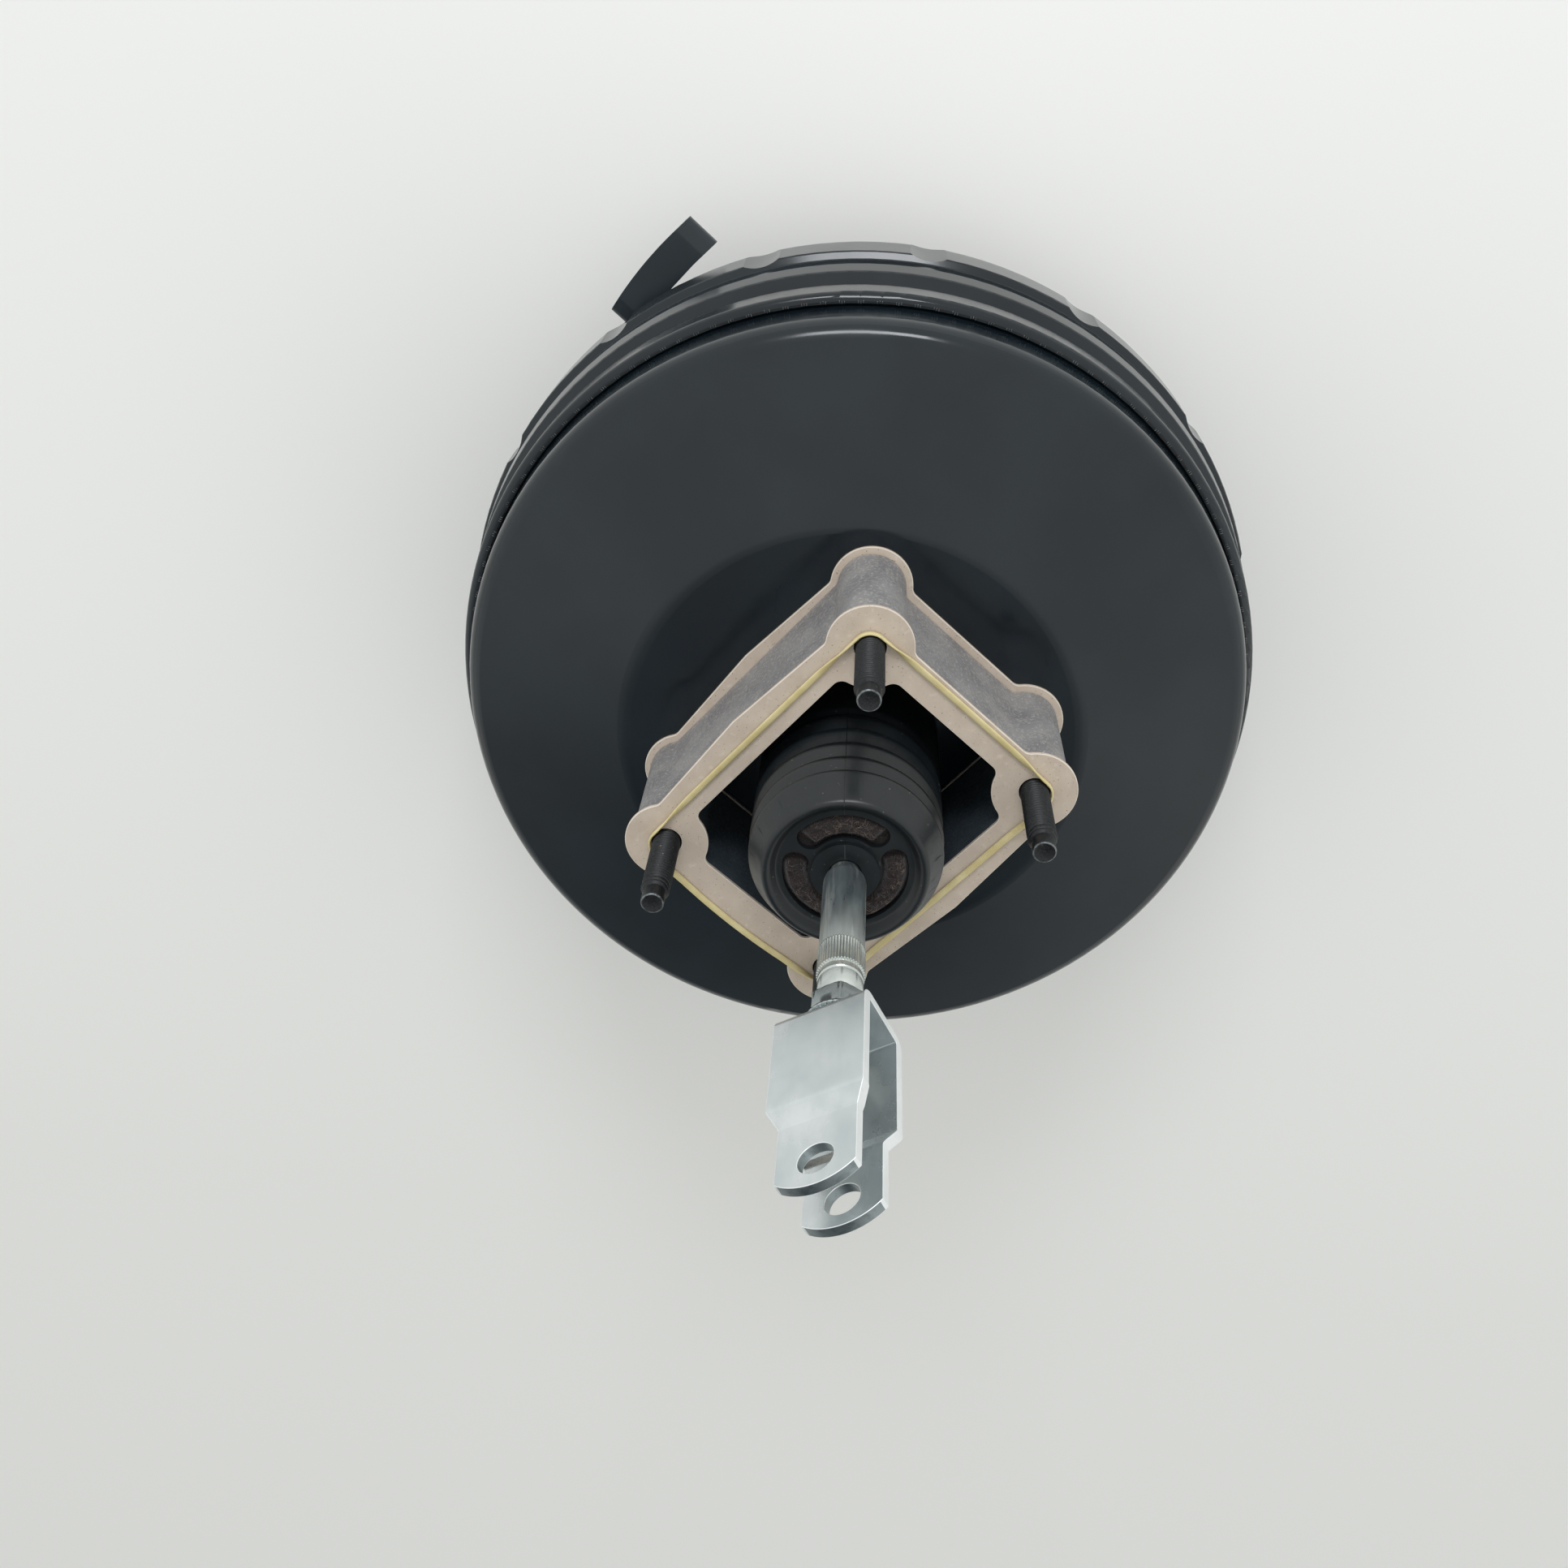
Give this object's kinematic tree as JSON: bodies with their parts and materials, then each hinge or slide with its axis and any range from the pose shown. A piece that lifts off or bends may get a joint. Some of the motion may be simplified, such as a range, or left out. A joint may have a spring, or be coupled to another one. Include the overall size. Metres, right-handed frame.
{
  "type": "brake booster",
  "caption": "Tandem vacuum brake booster with pressed steel shells, firewall spacer and studs, bellows boot, pedal push rod and adjustable clevis.",
  "frame": {"origin": "centre of the firewall stud pattern, on the rear gasket face that meets the firewall", "axes": "+Z along the booster's axis towards the pedal, +X along the wider stud spacing, +Y along the narrower one"},
  "size_m": [0.2644, 0.2676, 0.3383],
  "materials": {
    "black_painted_steel": "satin black electrocoat on pressed steel",
    "cast_spacer": "grey die casting, dull and slightly rough",
    "black_phosphate": "black phosphated and oiled steel",
    "zinc_plated_steel": "clear zinc plating, slightly dull",
    "gasket_sheet": "beige pressed fibre sheet",
    "boot_rubber": "matt black EPDM",
    "diaphragm_rubber": "fabric backed rubber",
    "seal_rubber": "matt black",
    "phenolic_moulding": "moulded phenolic",
    "nylon_moulding": "moulded glass filled nylon",
    "brown_felt": "needled felt",
    "filter_foam": "open cell foam",
    "spring_steel": "oiled spring wire"
  },
  "bodies": {
    "housing": {"front_shell": "black_painted_steel", "rear_shell": "black_painted_steel", "divider_plate": "zinc_plated_steel", "divider_seal": "seal_rubber", "rear_seal": "seal_rubber", "rear_seal_retainer": "zinc_plated_steel", "front_plate": "zinc_plated_steel", "spacer": "cast_spacer", "front_gasket": "gasket_sheet", "rear_gasket": "gasket_sheet", "firewall_studs": "black_phosphate", "cylinder_studs": "black_phosphate", "side_bracket": "black_painted_steel", "valve_grommet": "seal_rubber", "check_valve_body": "nylon_moulding", "return_spring": "spring_steel", "check_valve_spring": "spring_steel"},
    "piston": {"valve_body": "phenolic_moulding", "rear_piston_plate": "zinc_plated_steel", "front_piston_plate": "zinc_plated_steel", "rear_diaphragm": "diaphragm_rubber", "front_diaphragm": "diaphragm_rubber", "reaction_disc": "seal_rubber", "output_rod": "zinc_plated_steel", "valve_key": "zinc_plated_steel", "poppet_retainer": "zinc_plated_steel", "air_filter": "filter_foam", "silencer_felt": "brown_felt", "boot": "boot_rubber", "rod_spring": "spring_steel", "poppet_spring": "spring_steel"},
    "poppet": {"poppet": "seal_rubber"},
    "pedal_rod": {"operating_rod": "zinc_plated_steel", "valve_plunger": "zinc_plated_steel", "rod_spring_seat": "zinc_plated_steel", "lock_nut": "zinc_plated_steel"},
    "clevis": {"clevis": "zinc_plated_steel"},
    "check_disc": {"check_valve_disc": "seal_rubber"}
  },
  "joints": [
    {"name": "piston_stroke", "type": "slide", "parent": "housing", "child": "piston", "axis": [0, 0, -1], "range_m": [0, 0.026], "stiffness_N_per_m": 4000, "springref_m": -0.03, "deforming": ["boot", "return_spring", "rear_diaphragm", "front_diaphragm"]},
    {"name": "valve_travel", "type": "slide", "parent": "piston", "child": "pedal_rod", "axis": [0, 0, -1], "range_m": [0, 0.002], "stiffness_N_per_m": 2000, "springref_m": -0.01, "deforming": ["rod_spring"]},
    {"name": "poppet_lift", "type": "slide", "parent": "piston", "child": "poppet", "axis": [0, 0, -1], "range_m": [0, 0.0005], "deforming": ["poppet_spring"]},
    {"name": "clevis_turn", "type": "hinge", "parent": "pedal_rod", "child": "clevis", "pos_m": [0, 0, 0.0965], "axis": [0, 0, 1], "range_deg": [-180, 180]},
    {"name": "check_valve_lift", "type": "slide", "parent": "housing", "child": "check_disc", "axis": [0, 0, -1], "range_m": [0, 0.0015], "stiffness_N_per_m": 100, "springref_m": -0.01, "deforming": ["check_valve_spring"]}
  ],
  "couplings": [
    {"joint": "poppet_lift", "follows": "valve_travel", "ratio": 0.25}
  ]
}
